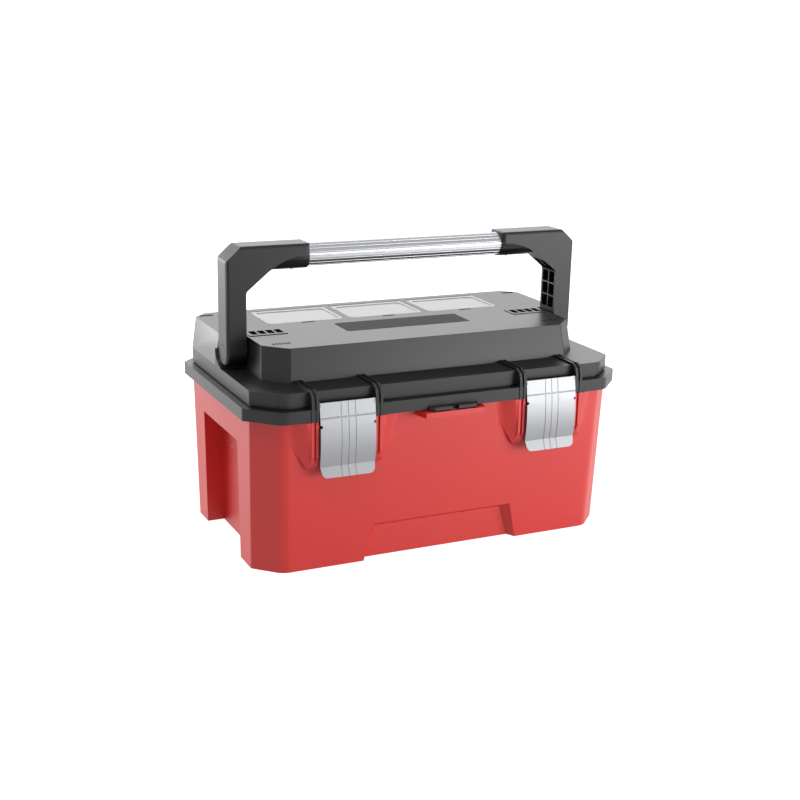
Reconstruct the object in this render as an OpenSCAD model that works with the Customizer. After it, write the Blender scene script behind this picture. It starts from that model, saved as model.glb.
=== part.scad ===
// Cantilever tool box: a moulded tub, a hinged lid with three small-parts bins and a
// folding carry handle, two sprung-steel latches, and a tray that swings up and back
// on parallel links when the lid opens. Millimetres, front towards -Y, Z up.

/* [Overall] */
// Length over the lid's skirt
box_length = 508; // [460:2:560]
// Depth over the lid's skirt
box_depth = 300; // [280:2:330]

/* [Tub] */
// Height of the tub's top edge
tub_height = 200; // [190:1:240]
// Gap between the skirt's outer face and the tub's wall at the top
skirt_overhang = 10; // [9:0.5:12]
// How far each end leans in from top to base
end_draft = 3.5; // [2:0.5:6]
// How far the front and the back lean in from top to base
front_draft = 8; // [5:0.5:10]
// Wall of the tub
tub_wall = 3; // [2.5:0.1:4]
// Thickness of the tub's floor
tub_floor = 3.5; // [3:0.1:5]
// Flat cut across each upright corner
tub_corner = 30; // [24:1:36]
// Depth of the recess in each end
end_recess_depth = 22; // [18:1:25]
// Width of the recess in each end
end_recess_width = 131; // [110:1:140]
// Height of the recess in each end
end_recess_height = 150; // [130:1:152]
// Width of the toe recess at the front, along the floor
toe_width = 216; // [160:2:240]
// Height of the toe recess
toe_height = 48; // [35:1:60]
// Depth of the toe recess
toe_depth = 11; // [8:1:22]

/* [Lid] */
// Height of the skirt band
skirt_height = 15; // [12:0.5:18]
// How far the skirt hangs below the tub's top edge
skirt_drop = 10; // [8:0.5:12]
// Height of the shoulder above the tub's top edge
shoulder_rise = 24; // [22:1:28]
// Height of the raised block above the shoulder
block_height = 39.5; // [36:0.5:44]
// Wall of the lid
lid_wall = 3; // [2.5:0.1:3.5]
// Shoulder left free past each end of the raised front block
block_end_inset = 39; // [34:1:54]
// Shoulder left free in front of the raised block
front_ledge = 43.2; // [42:0.2:50]
// Largest angle of the lid
lid_angle = 100; // [80:1:105]

/* [Handle] */
// Height of the handle pivot above the shoulder
pivot_rise = 21; // [20:0.5:24]
// Distance of the handle pivot behind the middle of the box
pivot_y = -5; // [-12:1:0]
// Height of the grip's centre above the pivot
grip_rise = 113.7; // [110:0.5:116]
// Depth of each arm, front to back
arm_depth = 36; // [30:1:38]
// Width of each arm
arm_width = 25; // [22:0.5:26]
// Diameter of the grip tube
grip_diameter = 28.6; // [26:0.2:30]
// Wall of the grip tube
grip_wall = 2.3; // [1.5:0.1:3]
// Length of grip between the two sockets
grip_free_length = 268; // [220:2:290]
// Diameter of the handle's pivot pins
handle_pin_diameter = 12; // [10:0.5:14]

/* [Latches] */
// Distance of each latch from the middle of the box
latch_x = 137.5; // [120:0.5:150]
// Width of a latch plate
latch_width = 70; // [60:1:74]
// Width of the ribs beside a latch
latch_rib = 9.2; // [8:0.1:11]
// Thickness of the latch sheet
latch_sheet = 1.5; // [1.2:0.1:2]
// Diameter of a latch pin
latch_pin_diameter = 4; // [3:0.2:4.4]

/* [Hinge] */
// Distance of each lid hinge from the middle of the box
hinge_x = 150; // [120:1:170]
// Length of a lid hinge
hinge_length = 60; // [50:1:70]
// Diameter of a hinge pin
hinge_pin_diameter = 5; // [4:0.5:6]

/* [Tray] */
// Gap between each end of the tray and the end recess's wall, where the links run
tray_side_gap = 12; // [11.5:0.1:14]
// Front edge of the tray, behind the inside of the tub's front wall
tray_front_gap = 12; // [8:1:20]
// Depth of the tray, front to back
tray_depth = 162; // [140:2:168]
// Height of the tray
tray_height = 52; // [48:1:54]
// Gap between the tray's top edge and the tub's top edge
tray_drop = 8; // [6:1:12]
// Wall of the tray
tray_wall = 2.5; // [2:0.1:3.5]
// Compartments along the front of the tray
tray_cells = 4; // [2:1:6]

/* [Links] */
// Length of a tray link between its pivots
link_length = 80; // [70:1:84]
// Thickness of a link strip
link_sheet = 2; // [1.5:0.1:2.2]
// Width of a link strip
link_width = 10; // [9:0.5:12]
// Diameter of a link pin
link_pin_diameter = 5; // [4:0.5:6]
// Length of the crank that the lid drives
crank_length = 35; // [30:1:38]

/* [Small-parts bins] */
// Length of one bin cover
cover_length = 104; // [90:1:106]
// Depth of one bin cover
cover_depth = 72; // [60:1:74]
// Distance between the middles of two covers
cover_pitch = 113; // [110:1:118]
// Thickness of a bin cover
cover_sheet = 2.5; // [2:0.1:3]
// Depth of a bin below its cover
bin_depth = 36; // [25:1:37]

/* [Fits] */
// Gap between parts that move past each other
gap = 0.5; // [0.4:0.05:0.8]
// Radial clearance of a pin in its hole
pin_fit = 0.05; // [0.02:0.01:0.1]

/* [Hidden] */
$fn = 48;
half_length = box_length / 2;
half_depth = box_depth / 2;
seat_gap = 0.3;
skirt_bottom = tub_height - skirt_drop;
skirt_top = skirt_bottom + skirt_height;
seam_height = 1.5;
shoulder_z = tub_height + shoulder_rise;
top_z = shoulder_z + block_height;
tub_half_length = half_length - skirt_overhang;
tub_half_depth = half_depth - skirt_overhang;
skirt_corner = tub_corner + skirt_overhang * 0.6;
soft_radius = 3.5;
front_blend = 22;
weld_fit = 0.03;
front_y = -half_depth;

// End recess of the tub
recess_x = tub_half_length - end_draft - end_recess_depth;
recess_mid = 1.5;

// Raised blocks of the lid
block_lean = 3.3;
rear_lean = 5.8;
rear_top_inset = 10;
pocket_clear = 1.5;
front_block_y = -tub_half_depth + front_ledge;

// Handle
pivot_z = shoulder_z + pivot_rise;
grip_z = pivot_z + grip_rise;
arm_half = arm_depth / 2;
front_block_length = box_length - 2 * block_end_inset;
arm_inner = front_block_length / 2 + 1;
arm_outer = arm_inner + arm_width;
rear_block_y = pivot_y + arm_half + pocket_clear;
socket_half_height = grip_diameter / 2 + 2;
socket_end = grip_free_length / 2;
socket_depth = 34;
pin_boss_length = 11;
pin_head = 2.4;

// Latch
latch_pivot_y = front_y + 2.8;
latch_pivot_z = shoulder_z - 15.5;
latch_face = front_y - 1.5;
latch_bend_z = shoulder_z - 30;
latch_foot_z = shoulder_z - 89;
latch_lip_z = shoulder_z - 101.5;
channel_floor = front_y + 7;
catch_z = latch_foot_z + 13;

// Lid hinge
hinge_y = half_depth - 5;
hinge_z = skirt_bottom - 6;
knuckle_radius = 5;
knuckle_length = (hinge_length - 2 * gap) / 4;

// Tray and its links, worked out in the plane of an end
tray_top = tub_height - tray_drop;
tray_bottom = tray_top - tray_height;
tray_front = -tub_half_depth + tub_wall + tray_front_gap + front_draft / 4;
tray_rear = tray_front + tray_depth;
tray_mid = (tray_front + tray_rear) / 2;
rest_dip = 5;
link_spread = 36;
spread_angle = 40;
rear_tray_pin = [tray_mid + 19, tray_top - 19];
front_tray_pin = rear_tray_pin - link_spread * [cos(spread_angle), sin(spread_angle)];
link_vector = link_length * [cos(rest_dip), sin(rest_dip)];
rear_case_pin = rear_tray_pin + link_vector;
front_case_pin = front_tray_pin + link_vector;
crank_vector = crank_length * [-cos(30), sin(30)];
crank_pin = rear_case_pin + crank_vector;
lid_link_pin = [hinge_y, hinge_z] + crank_vector;
link_pin_radius = link_pin_diameter / 2;

// Layers across the gap between tray and tub, from the tray's end outwards
tray_end = recess_x - tub_wall - tray_side_gap;
head_sheet = 1.5;
drive_in = tray_end + head_sheet + 2 * gap;
drive_out = drive_in + link_sheet;
link_in = drive_out + 0.8;
link_out = link_in + link_sheet;
bracket_out = recess_x - tub_wall;
bracket_in = bracket_out - 2.5;

// Bins and covers
cover_rear = tub_half_depth - rear_top_inset - 18;
cover_neck = 9;
cover_front = cover_rear - cover_depth;
cover_pin_radius = 1.2;
cover_barrel_radius = 2.3;
cover_axis_y = cover_rear + 1.7;
cover_axis_z = top_z - cover_barrel_radius;
bin_wall = 2;

// ---------- shared shapes ----------

function unit(v) = v / norm(v);

// Points of an arc that rounds corner v between its neighbours a and b
function corner_arc(a, v, b, r, n) =
    let (u = unit(a - v), w = unit(b - v), half = acos(u * w) / 2,
         p = v + u * r / tan(half), q = v + w * r / tan(half),
         c = v + unit(u + w) * r / sin(half),
         s = atan2(p.y - c.y, p.x - c.x), e = atan2(q.y - c.y, q.x - c.x),
         turn = (e - s + 540) % 360 - 180)
    [for (i = [0:n]) c + r * [cos(s + turn * i / n), sin(s + turn * i / n)]];

// Closed outline with every corner rounded
function rounded(points, r, n = 3) =
    let (m = len(points))
    [for (i = [0:m - 1]) each
        corner_arc(points[(i + m - 1) % m], points[i], points[(i + 1) % m], r, n)];

// Rectangle from (x0, y0) to (x1, y1) with its front and rear corners cut flat
function cut_corners(x0, y0, x1, y1, front, rear) =
    [[x0 + front, y0], [x1 - front, y0], [x1, y0 + front], [x1, y1 - rear],
     [x1 - rear, y1], [x0 + rear, y1], [x0, y1 - rear], [x0, y0 + front]];

// Closed outline with its first two corners rounded by one radius and the rest by another
function blended(points, r_first, r_rest) =
    let (m = len(points))
    [for (i = [0:m - 1]) each
        corner_arc(points[(i + m - 1) % m], points[i], points[(i + 1) % m],
                   i < 2 ? r_first : r_rest, i < 2 ? 7 : 3)];

// Case outline: the cut corners run softly into the front face and crisply into the ends
function octagon(hx, hy, c) =
    blended(cut_corners(-hx, -hy, hx, hy, c, c), front_blend, soft_radius);

function rectangle(x0, y0, x1, y1) = [[x0, y0], [x1, y0], [x1, y1], [x0, y1]];

module box(lo, hi) translate(lo) cube(hi - lo);

// Plate or block of an XY outline between two heights
module slab(points, z0, z1) translate([0, 0, z0]) linear_extrude(height = z1 - z0) polygon(points);

// Outline given in (y, z), drawn out along X from x0 to x1
module along_x(points, x0, x1)
    translate([x0, 0, 0]) rotate([90, 0, 90]) linear_extrude(height = x1 - x0) polygon(points);

// Outline given in (x, z), drawn out along Y from y0 to y1
module along_y(points, y0, y1)
    translate([0, y1, 0]) rotate([90, 0, 0]) linear_extrude(height = y1 - y0) polygon(points);

// Round bar along X, centred on (y, z)
module bar_x(centre, r, x0, x1)
    translate([x0, centre[0], centre[1]]) rotate([0, 90, 0]) cylinder(r = r, h = x1 - x0);

module at_both_ends() {
    children();
    mirror([1, 0, 0]) children();
}

// side = 1 for the right-hand end, -1 for the left-hand end
module at_end(side) mirror([side < 0 ? 1 : 0, 0, 0]) children();

// ---------- tub ----------

function tub_half_x(z) = tub_half_length - end_draft * (1 - z / tub_height);
function tub_half_y(z) = tub_half_depth - front_draft * (1 - z / tub_height);

// Outline of the tub at one height, set in by a wall
module tub_slice(z, inset)
    slab(octagon(tub_half_x(z) - inset, tub_half_y(z) - inset, tub_corner - inset * 0.6), z - 0.01, z);

// Leaning tub form between two heights
module tub_form(z0, z1, inset) hull() {
    tub_slice(z0, inset);
    tub_slice(z1, inset);
}

// Space of an end recess, grown by a wall
module end_recess(grow)
    box([recess_x - grow, recess_mid - end_recess_width / 2 - grow, -1],
        [half_length + 1, recess_mid + end_recess_width / 2 + grow, end_recess_height + grow]);

// Space of the toe recess, grown by a wall
toe_lean = 8;

module toe_recess(grow) {
    y = -tub_half_y(0);
    foot = toe_width / 2 + grow;
    head = foot - toe_height / 4;
    top = toe_height + grow;
    hull() {
        along_y([[-foot, -1], [foot, -1], [head, top], [-head, top]], y - 3, y - 2.9);
        along_y([[-foot + toe_lean, -1], [foot - toe_lean, -1],
                 [head - toe_lean, top - toe_lean], [-head + toe_lean, top - toe_lean]],
                y + toe_depth + grow - 0.1, y + toe_depth + grow);
    }
}

// Profile of a latch rib on the tub, in (y, z)
rib_foot_rise = 12;
tub_rib_profile = [[-tub_half_depth + 6, skirt_bottom - gap], [front_y - 0.5, skirt_bottom - gap],
                   [front_y - 0.5, latch_foot_z + rib_foot_rise], [front_y + 4, latch_foot_z + 2],
                   [-tub_half_depth + 4, latch_foot_z - 9], [-tub_half_depth + 6, latch_foot_z - 9]];

// Smooth cheek beside a latch rib, from the rib's edge at x0 out to the tub's face. It
// leans back with the face, and in under the rib, so it narrows downward.
flare_tilt = 9;
flare_rise = 12;
flare_steps = 10;
module latch_flare(x0, reach) {
    sweep = [for (i = [0:flare_steps]) let (t = i / flare_steps)
        [-reach * (1 - t), 0.3 - flare_rise * (1 - t * t * (3 - 2 * t))]];
    intersection() {
        // Its lower edge climbs outward from the rib's foot
        along_y([[x0, latch_foot_z - 9], [x0 + reach, latch_foot_z + 34],
                 [x0 + reach, skirt_bottom - gap], [x0, skirt_bottom - gap]],
                front_y, -tub_half_depth + 6);
        translate([x0 + reach, -tub_half_depth, skirt_bottom - gap])
            rotate([atan(front_draft / tub_height), flare_tilt, 0])
                slab(concat([[-reach - 20, 6], [-reach - 20, 0.3 - flare_rise]], sweep, [[0, 6]]),
                     -90, 14);
        along_x(tub_rib_profile, x0, x0 + reach + 4);
    }
}

outer_flare = 27;
inner_flare = 26;
// The tub's outer form, a hair larger: what is welded on it stops there
module tub_skin() tub_form(0.01, tub_height, -weld_fit);

// Ribs with their cheeks, one pair for each latch, welded on the tub's front
module latch_ribs() color([0.78, 0.12, 0.12]) {
    inner = latch_width / 2 + 1.5 * gap;
    difference() {
        at_both_ends() for (s = [-1, 1]) translate([latch_x, 0, 0]) mirror([s < 0 ? 1 : 0, 0, 0]) {
            difference() {
                along_x(tub_rib_profile, inner, inner + latch_rib);
                along_x([[front_y - 5, skirt_bottom + 1], [front_y - 5, latch_foot_z - rib_foot_rise],
                         [front_y + 4.5, latch_foot_z - rib_foot_rise],
                         [front_y + 2.5, latch_foot_z + rib_foot_rise],
                         [front_y + 2.5, skirt_bottom + 1]],
                        inner + latch_rib * 0.36, inner + latch_rib * 0.66);
            }
            latch_flare(inner + latch_rib - 0.5, s > 0 ? outer_flare : inner_flare);
        }
        tub_skin();
    }
}

// Ledges that the latches' tongues meet
ledge_half_length = 20;
ledge_height = 8;

module latch_ledges() color([0.78, 0.12, 0.12])
    difference() {
        at_both_ends()
            box([latch_x - ledge_half_length, channel_floor - 1, catch_z + 1.5 * gap],
                [latch_x + ledge_half_length, -tub_half_depth + 6, catch_z + ledge_height]);
        tub_skin();
    }

module tub_hinge_knuckles() {
    outer = hinge_length / 2;
    for (x = [hinge_x - outer, hinge_x + outer - knuckle_length]) {
        bar_x([hinge_y, hinge_z], knuckle_radius, x, x + knuckle_length);
        box([x, tub_half_depth - 5, hinge_z - knuckle_radius],
            [x + knuckle_length, hinge_y, hinge_z + knuckle_radius - 1]);
    }
}

// Tub's padlock tab, pushed out through a slot in the tub's front wall from inside until its
// flange meets the wall, with a steel eye pressed into it
padlock_y = front_y - 3.7;
padlock_radius = 3.5;
eye_wall = 1.2;
tab_half = 44;
tab_flange = 2;
tab_bottom = skirt_bottom - 8;
tab_top = skirt_bottom - gap * 3;
tab_inside = -tub_half_y(tab_bottom - 3) + tub_wall + pin_fit;
module padlock_tab() color([0.78, 0.12, 0.12])
    difference() {
        union() {
            slab(rounded([[-tab_half, tab_inside + tab_flange], [-tab_half, -tub_half_depth - 1],
                          [-tab_half + 4, padlock_y - 6.3], [tab_half - 4, padlock_y - 6.3],
                          [tab_half, -tub_half_depth - 1], [tab_half, tab_inside + tab_flange]], 1.5),
                 tab_bottom, tab_top);
            box([-tab_half - 3, tab_inside, tab_bottom - 3],
                [tab_half + 3, tab_inside + tab_flange, tab_top + 3]);
        }
        upright_bore(0, padlock_y, padlock_radius + eye_wall + pin_fit / 2, tab_bottom - 1, tab_top + 1);
    }

module upright_bore(x, y, r, z0, z1) translate([x, y, z0]) cylinder(r = r, h = z1 - z0);

module padlock_eye() color("silver")
    difference() {
        upright_bore(0, padlock_y, padlock_radius + eye_wall, tab_bottom, tab_top);
        upright_bore(0, padlock_y, padlock_radius, tab_bottom - 1, tab_top + 1);
    }

module tub() color([0.78, 0.12, 0.12]) {
    difference() {
        union() {
            tub_form(0.01, tub_height, 0);
            at_both_ends() tub_hinge_knuckles();
        }
        difference() {
            tub_form(tub_floor, tub_height + 0.01, tub_wall);
            at_both_ends() end_recess(tub_wall);
            toe_recess(tub_wall);
        }
        at_both_ends() {
            end_recess(0);
            bracket_screw_holes(recess_x - tub_wall - 1, recess_x + 1);
        }
        toe_recess(0);
        box([-tab_half - pin_fit, -tub_half_depth - 2, tab_bottom - pin_fit],
            [tab_half + pin_fit, tab_inside + 1, tab_top + pin_fit]);
        bar_x([hinge_y, hinge_z], hinge_pin_diameter / 2 + pin_fit, -half_length, half_length);
    }
}

// ---------- lid ----------

function block_outline(hx, front, rear) =
    let (p = cut_corners(-hx, front, hx, rear, 26, 1), m = len(p))
    [for (i = [0:m - 1]) each
        corner_arc(p[(i + m - 1) % m], p[i], p[(i + 1) % m], i < 3 || i > 6 ? 5 : 0.6, 3)];

// Raised block as a leaning form between the shoulder and the top, set in by a wall
module front_block(inset) {
    hx = front_block_length / 2 - inset;
    rear = rear_block_y + 20;
    hull() {
        slab(block_outline(hx, front_block_y + inset, rear),
             shoulder_z - 0.5 - 3 * min(inset, 1), shoulder_z - 2 * min(inset, 1));
        slab(block_outline(hx - block_lean, front_block_y + inset + 9, rear),
             top_z - inset - 0.01, top_z - inset);
    }
}

module rear_block(inset) {
    hx = tub_half_length - inset;
    hy = tub_half_depth - inset;
    y0 = rear_block_y + inset;
    hull() {
        slab(cut_corners(-hx, y0, hx, hy, 0.5, tub_corner - inset * 0.6),
             shoulder_z - 0.5 - 3 * min(inset, 1), shoulder_z - 2 * min(inset, 1));
        slab(cut_corners(-hx + rear_lean, y0, hx - rear_lean, hy - rear_top_inset, 0.5, 18),
             top_z - inset - 0.01, top_z - inset);
    }
}

// Material that follows the round foot of a handle arm
module arm_pocket_fillet()
    difference() {
        box([arm_inner - 1, pivot_y, shoulder_z - 1], [tub_half_length, rear_block_y + 1, pivot_z]);
        bar_x([pivot_y, pivot_z], arm_half + pocket_clear, arm_inner - 3, half_length);
    }

lid_rib_height = 2.5;
lid_rib_bend = 11;
lid_rib_profile = [[front_block_y + 4, shoulder_z - 1], [front_block_y + 4, shoulder_z + lid_rib_height],
                   [-tub_half_depth + 1, shoulder_z + lid_rib_height], [front_y + 2, shoulder_z - 2],
                   [front_y - 1, shoulder_z - lid_rib_bend], [front_y - 1, skirt_bottom],
                   [channel_floor, skirt_bottom], [-tub_half_depth + 1, shoulder_z - 6],
                   [-tub_half_depth + 1, shoulder_z - 1]];

module lid_latch_ribs() {
    inner = latch_width / 2 + 1.5 * gap;
    for (s = [-1, 1]) translate([latch_x, 0, 0]) mirror([s < 0 ? 1 : 0, 0, 0])
        difference() {
            along_x(lid_rib_profile, inner, inner + latch_rib);
            along_x([[front_block_y, shoulder_z + 0.8], [-tub_half_depth + 1, shoulder_z + 0.8],
                     [front_y + 3.8, shoulder_z - 4], [front_y + 1.5, shoulder_z - lid_rib_bend - 1],
                     [front_y + 1.5, skirt_bottom - 1], [front_y - 5, skirt_bottom - 1],
                     [front_y - 5, shoulder_z + 9], [front_block_y, shoulder_z + 9]],
                    inner + latch_rib * 0.36, inner + latch_rib * 0.66);
        }
}

// Space cut in the skirt for a latch
module latch_channel()
    box([latch_x - latch_width / 2 - 1.5 * gap, front_y - 10, skirt_bottom - 1],
        [latch_x + latch_width / 2 + 1.5 * gap, channel_floor, skirt_top + seam_height]);

module lid_hinge_knuckle() {
    x0 = hinge_x - hinge_length / 2 + knuckle_length + gap;
    x1 = hinge_x + hinge_length / 2 - knuckle_length - gap;
    bar_x([hinge_y, hinge_z], knuckle_radius, x0, x1);
    box([x0, hinge_y + 1.5, hinge_z], [x1, half_depth, skirt_bottom + 1]);
}

// Lug under the lid that takes the drive link
module link_lug() {
    y = lid_link_pin[0];
    z = lid_link_pin[1];
    bar_x(lid_link_pin, 7, link_in, link_in + 2.5);
    box([link_in, y - 7, z], [link_in + 2.5, y + 7, top_z - lid_wall + 0.5]);
    box([link_in - 6, y - 1, shoulder_z], [link_in + 8, y + 1.5, top_z - lid_wall + 0.5]);
}

module bin_x_shifts() for (i = [-1:1]) translate([i * cover_pitch, 0, 0]) children();

bin_floor_z = top_z - cover_sheet - gap - bin_depth;

module bin_block()
    box([-cover_pitch - cover_length / 2 - 2, cover_front - 3, bin_floor_z - bin_wall],
        [cover_pitch + cover_length / 2 + 2, cover_rear + 6, top_z - 1]);

// Space of one cover's rebate, its barrel groove, finger notch and the bin below
module bin_space() {
    hx = cover_length / 2;
    rebate = top_z - cover_sheet - gap;
    groove_rear = cover_axis_y + cover_barrel_radius + gap;
    slab(rounded(rectangle(-hx - gap, cover_front - gap, hx + gap, cover_rear + gap), 8),
         rebate, top_z + 1);
    box([-hx - gap, cover_rear - cover_neck, rebate], [hx + gap, groove_rear, top_z + 1]);
    box([-hx - gap, cover_axis_y - cover_barrel_radius - 2 * gap,
         cover_axis_z - cover_barrel_radius - gap],
        [hx + gap, groove_rear, top_z + 1]);
    slab(rounded(rectangle(-hx + 3, cover_front + 3, hx - 3, cover_rear - 6), 6),
         bin_floor_z, top_z + 1);
    slab(rounded(rectangle(-9, cover_front - 6, 9, cover_front + 2), 3), rebate, top_z + 1);
}

// Four-slot strip, thumb grip and rear slot at each front corner of the top
slot_x = front_block_length / 2 - 56;
module top_slots_frame()
    slab(rounded(rectangle(slot_x, pivot_y - 10, slot_x + 50, pivot_y + 18), 2), top_z - 1, top_z + 0.8);

module top_slots() {
    for (i = [0:3]) translate([slot_x + 4 + i * 11, pivot_y - 5, top_z - 2]) cube([8.5, 18, 4]);
    for (i = [0:5]) translate([slot_x + 16 + i * 4, front_block_y + 31, top_z - 0.8]) cube([2.2, 8, 2]);
    translate([front_block_length / 2 - 1, cover_rear - 1, top_z - 2]) cube([18, 6, 3]);
}

label_length = 172;
label_depth = 46;
label_y = pivot_y - 24;
label_sheet = 1;
function label_outline(inset) =
    rounded(rectangle(-label_length / 2 + inset, label_y + inset,
                      label_length / 2 - inset, label_y + label_depth - inset), 3);

module lid_padlock_tab()
    slab(rounded([[-36, front_y + 2], [-28, padlock_y - 5.5], [28, padlock_y - 5.5], [36, front_y + 2]], 3),
         skirt_bottom, skirt_bottom + 4);

// The lid's tab has a notch, open to the front, for the back leg of a padlock's shackle
module padlock_notch() {
    half = padlock_radius + 0.6;
    upright_bore(0, padlock_y, half, skirt_bottom - 1, skirt_bottom + 5);
    box([-half, padlock_y - 8, skirt_bottom - 1], [half, padlock_y, skirt_bottom + 5]);
}

module lid_shell() color([0.17, 0.17, 0.18]) {
    difference() {
        union() {
            difference() {
                union() {
                    slab(octagon(half_length, half_depth, skirt_corner), skirt_bottom, skirt_top);
                    slab(octagon(tub_half_length - 2, tub_half_depth - 2, tub_corner - 1),
                         skirt_top - 1, skirt_top + seam_height + 1);
                    slab(octagon(tub_half_length, tub_half_depth, tub_corner),
                         skirt_top + seam_height, shoulder_z);
                    front_block(0);
                    rear_block(0);
                    at_both_ends() arm_pocket_fillet();
                }
                at_both_ends() latch_channel();
                // Hollow of the skirt, up to the seat on the tub's top edge
                difference() {
                    slab(octagon(half_length - lid_wall, half_depth - lid_wall, skirt_corner - 2),
                         skirt_bottom - 1, tub_height + seat_gap);
                    at_both_ends() translate([latch_x, 0, 0])
                        box([-latch_width / 2 - 3, front_y, skirt_bottom - 2],
                            [latch_width / 2 + 3, channel_floor + 2.4, tub_height + 1]);
                }
                slab(octagon(tub_half_length - lid_wall - 0.2, tub_half_depth - lid_wall - 0.2,
                             tub_corner - 2), skirt_bottom - 1, shoulder_z - lid_wall);
                front_block(lid_wall);
                rear_block(lid_wall);
            }
            bin_block();
            at_both_ends() {
                lid_latch_ribs();
                lid_hinge_knuckle();
                link_lug();
                bar_x([pivot_y, pivot_z], handle_pin_diameter / 2 + 5,
                      arm_inner - 1 - pin_boss_length, arm_inner - gap);
                top_slots_frame();
            }
            lid_padlock_tab();
        }
        bin_x_shifts() bin_space();
        at_both_ends() {
            top_slots();
            bar_x([pivot_y, pivot_z], handle_pin_diameter / 2 + pin_fit,
                  arm_inner - 2 - pin_boss_length, arm_outer);
            bar_x(lid_link_pin, link_pin_radius + pin_fit, link_in - 1, link_in + 4);
            bar_x([latch_pivot_y, latch_pivot_z], latch_pin_diameter / 2 + pin_fit,
                  latch_x - latch_width / 2 - 4, latch_x + latch_width / 2 + 4);
        }
        bin_x_shifts() bar_x([cover_axis_y, cover_axis_z], cover_pin_radius + pin_fit,
                             -cover_length / 2 - 4, cover_length / 2 + 4);
        bar_x([hinge_y, hinge_z], hinge_pin_diameter / 2 + pin_fit, -half_length, half_length);
        slab(label_outline(0), top_z - label_sheet + 0.2, top_z + 1);
        padlock_notch();
    }
}

module hinge_pins() color("silver") at_both_ends() {
    x0 = hinge_x - hinge_length / 2;
    x1 = hinge_x + hinge_length / 2;
    bar_x([hinge_y, hinge_z], hinge_pin_diameter / 2, x0 - 1, x1 + 1);
    bar_x([hinge_y, hinge_z], hinge_pin_diameter / 2 + 1, x1 + 0.1, x1 + 1.4);
}

module label_plate() color([0.2, 0.2, 0.21])
    slab(label_outline(0.2), top_z - label_sheet + 0.2, top_z + 0.2);

// ---------- small-parts bins ----------

module bin_cover(i) color([0.88, 0.88, 0.86, 0.6])
    translate([i * cover_pitch, 0, 0]) difference() {
        union() {
            slab(rounded(rectangle(-cover_length / 2, cover_front, cover_length / 2, cover_rear), 7.5),
                 top_z - cover_sheet, top_z);
            box([-cover_length / 2, cover_rear - cover_neck, top_z - cover_sheet],
                [cover_length / 2, cover_axis_y, top_z]);
            bar_x([cover_axis_y, cover_axis_z], cover_barrel_radius, -cover_length / 2, cover_length / 2);
        }
        bar_x([cover_axis_y, cover_axis_z], cover_pin_radius + pin_fit, -cover_length, cover_length);
        // Shallow panel that leaves a raised border
        slab(rounded(rectangle(-cover_length / 2 + 5, cover_front + 5,
                               cover_length / 2 - 5, cover_rear - 6), 5), top_z - 0.8, top_z + 1);
    }

module bin_cover_left() bin_cover(-1);
module bin_cover_middle() bin_cover(0);
module bin_cover_right() bin_cover(1);

module bin_cover_pins() color("silver") bin_x_shifts()
    bar_x([cover_axis_y, cover_axis_z], cover_pin_radius, -cover_length / 2 - 3.5, cover_length / 2 + 3.5);

// Loose cross wall that splits a bin in two
module bin_divider(i) color([0.25, 0.25, 0.26])
    translate([i * cover_pitch, 0, 0])
        box([-0.8, cover_front + 3 + seat_gap, bin_floor_z + seat_gap],
            [0.8, cover_rear - 6 - seat_gap, bin_floor_z + bin_depth - 3]);

module bin_divider_left() bin_divider(-1);
module bin_divider_middle() bin_divider(0);
module bin_divider_right() bin_divider(1);

// ---------- handle ----------

// Outline of the right arm seen from the front, in (x, z)
socket_low = grip_z - socket_half_height;
socket_high = grip_z + socket_half_height;
// The socket's full-depth part ends below in an arch that runs on from the leg's slope
arch_radius = 88.4;
arch_turn = 39.3;
arch_top = grip_z + 2.3;
arch = [for (i = [0:10]) let (t = arch_turn * (1 - i / 10))
    [socket_end + arch_radius * sin(t), arch_top - arch_radius * (1 - cos(t))]];
arm_round = 4;
arm_outline = concat([[arm_inner, pivot_z - 1]],
    corner_arc([arm_inner, pivot_z], [arm_inner, grip_z - 39], arch[0], 6, 4), arch,
    corner_arc(arch[10], [socket_end, socket_high], [arm_outer, socket_high], 1.5, 3),
    corner_arc([socket_end, socket_high], [arm_outer - 19, socket_high], [arm_outer, grip_z - 1], 5, 4),
    corner_arc([arm_outer - 19, socket_high], [arm_outer, grip_z - 1], [arm_outer, pivot_z], 5, 4),
    [[arm_outer, pivot_z - 1]]);

// Round foot of the arm about its pivot, with the same edge as the leg
module arm_foot() {
    width = arm_outer - arm_inner;
    edge = corner_arc([arm_half, 0], [arm_half, width], [0, width], arm_round, 4);
    translate([arm_inner, pivot_y, pivot_z]) rotate([0, 90, 0]) rotate_extrude()
        polygon(concat([[0, 0], [arm_half, 0]], edge, [[0, width]]));
}

// Pocket on the arm's inner side, left open between cross ribs
module arm_pocket() {
    wall = 3.5;
    z0 = pivot_z + arm_half + 6;
    z1 = grip_z - socket_half_height - 8;
    rib = 2;
    cells = 4;
    pitch = (z1 - z0 + rib) / cells;
    for (i = [0:cells - 1], s = [-1, 1]) {
        y_mid = pivot_y + s * (arm_half - wall + rib / 2) / 2;
        half = (arm_half - wall - rib / 2) / 2;
        box([arm_inner - 20, y_mid - half, z0 + i * pitch],
            [arm_outer - wall, y_mid + half, z0 + (i + 1) * pitch - rib]);
    }
}

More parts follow.
